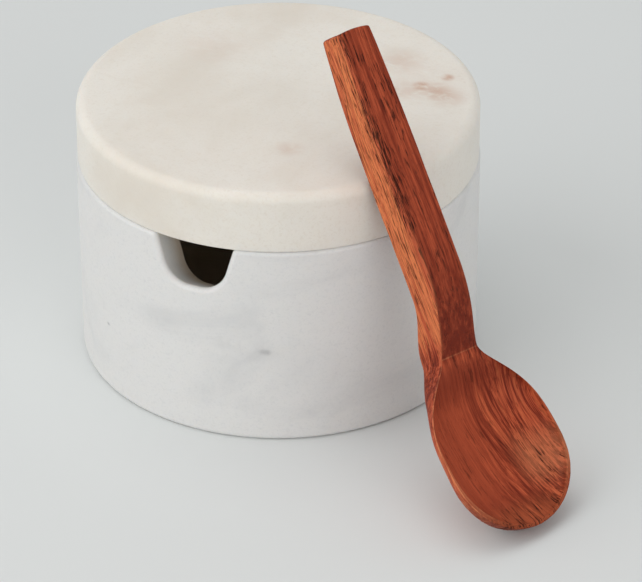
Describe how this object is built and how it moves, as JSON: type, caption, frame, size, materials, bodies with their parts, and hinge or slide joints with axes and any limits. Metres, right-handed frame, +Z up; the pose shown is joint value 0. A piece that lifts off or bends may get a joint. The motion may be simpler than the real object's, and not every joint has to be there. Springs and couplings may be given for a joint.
{
  "type": "salt cellar",
  "caption": "Round stone salt cellar with a notched rim, a loose stone lid and a carved wooden spoon leaning on the lid's edge.",
  "frame": {"origin": "centre of the pot's flat base, on the table", "axes": "+Z up along the pot's axis; -Y out through the middle of the notch; the spoon leans at 60 degrees from -Y towards +X"},
  "size_m": [0.1314, 0.1072, 0.0935],
  "materials": {
    "pot_stone": "honed",
    "lid_stone": "honed",
    "spoon_wood": "oiled"
  },
  "bodies": {
    "pot": {"pot": "pot_stone"},
    "lid": {"lid": "lid_stone"},
    "spoon": {"spoon": "spoon_wood"}
  },
  "joints": [
    {"name": "lid_lift", "type": "slide", "parent": "pot", "child": "lid", "axis": [0, 0, 1], "range_m": [0, 0.06]},
    {"name": "spoon_lift", "type": "slide", "parent": "lid", "child": "spoon", "axis": [0, 0, 1], "range_m": [0, 0.07]}
  ]
}
